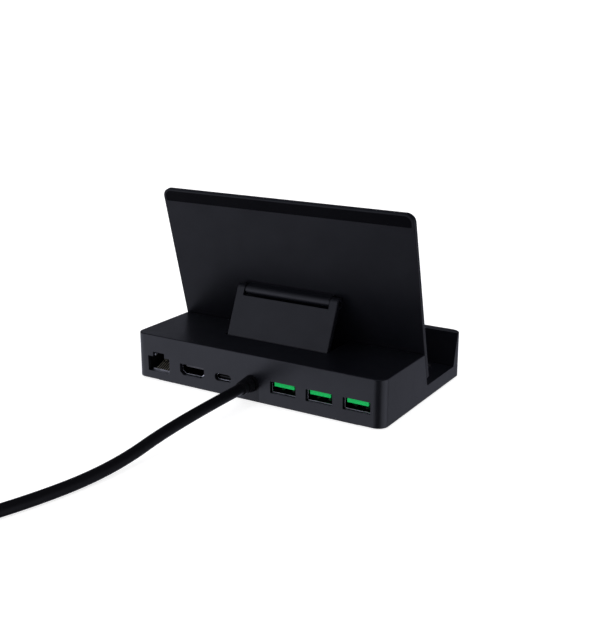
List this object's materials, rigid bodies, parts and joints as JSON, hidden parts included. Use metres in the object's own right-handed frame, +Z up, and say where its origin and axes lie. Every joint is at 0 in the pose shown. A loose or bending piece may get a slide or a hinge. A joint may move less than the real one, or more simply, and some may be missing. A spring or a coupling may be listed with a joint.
{
  "type": "docking stand for a handheld games console",
  "caption": "Docking stand for a handheld games console: wedge cradle with a folding backrest, a row of sockets along the rear and a captive cable.",
  "frame": {"origin": "on the table under the middle of the base", "axes": "+X to the right seen from the front (the side the console stands on), +Y towards the rear with the sockets, +Z up"},
  "size_m": [0.188, 0.3299, 0.0935],
  "materials": {
    "shell_plastic": "fine spark-eroded matte black",
    "cover_plastic": "matte black",
    "arm_plastic": "fine matte black",
    "plate_plastic": "smooth matte black",
    "strip_plastic": "darker satin black",
    "foot_rubber": "matt silicone",
    "pad_rubber": "matt silicone",
    "pin_steel": "plain ground steel",
    "screw_steel": "black oxide steel",
    "connector_shell": "nickel-plated steel",
    "jack_plastic": "moulded black",
    "tongue_green": "moulded bright green",
    "tongue_black": "moulded black",
    "contact_gold": "gold flash",
    "board_green": "solder mask",
    "chip_black": "moulded epoxy",
    "thermal_pad": "soft silicone",
    "spreader_aluminium": "plain",
    "capacitor_can": "plain",
    "cable_jacket": "smooth matt jacket",
    "plug_plastic": "matte black"
  },
  "bodies": {
    "base": {"top_shell": "shell_plastic", "bottom_cover": "cover_plastic", "rubber_feet": "foot_rubber", "cover_screws": "screw_steel", "cradle_pad": "pad_rubber", "main_pcb": "board_green", "pcb_screws": "screw_steel", "rj45_shield": "connector_shell", "rj45_housing": "jack_plastic", "rj45_contacts": "contact_gold", "hdmi_shell": "connector_shell", "hdmi_tongue": "tongue_black", "usb_c_shell": "connector_shell", "usb_c_tongue": "tongue_black", "usb_a_contacts": "contact_gold", "controller_chips": "chip_black", "thermal_pads": "thermal_pad", "heat_spreader": "spreader_aluminium", "ethernet_transformer": "chip_black", "power_inductors": "chip_black", "bulk_capacitors": "capacitor_can", "cable_header": "tongue_black", "inner_cable": "cable_jacket", "strain_relief_boot": "cable_jacket", "lower_hinge_bracket": "pin_steel", "bracket_screws": "screw_steel", "lower_hinge_pin": "pin_steel", "lower_friction_washers": "pin_steel", "cable": "cable_jacket", "plug_overmold": "plug_plastic", "plug_tip": "connector_shell", "usb_a_shell_1": "connector_shell", "usb_a_tongue_1": "tongue_green", "usb_a_shell_2": "connector_shell", "usb_a_tongue_2": "tongue_green", "usb_a_shell_3": "connector_shell", "usb_a_tongue_3": "tongue_green"},
    "arm": {"support_arm": "arm_plastic", "upper_hinge_pin": "pin_steel", "upper_friction_washers": "pin_steel"},
    "backrest": {"backrest_plate": "plate_plastic", "hinge_leaf": "arm_plastic", "leaf_screws": "screw_steel", "top_strip": "strip_plastic", "backrest_pad": "pad_rubber"}
  },
  "joints": [
    {"name": "arm_fold", "type": "hinge", "parent": "base", "child": "arm", "pos_m": [0, 0.0203, 0.0206], "axis": [1, 0, 0], "range_deg": [0, 50]},
    {"name": "backrest_tilt", "type": "hinge", "parent": "arm", "child": "backrest", "pos_m": [0, 0.01, 0.0445], "axis": [1, 0, 0], "range_deg": [-126.1, 0]}
  ],
  "couplings": [
    {"joint": "backrest_tilt", "follows": "arm_fold", "ratio": -2.52}
  ]
}
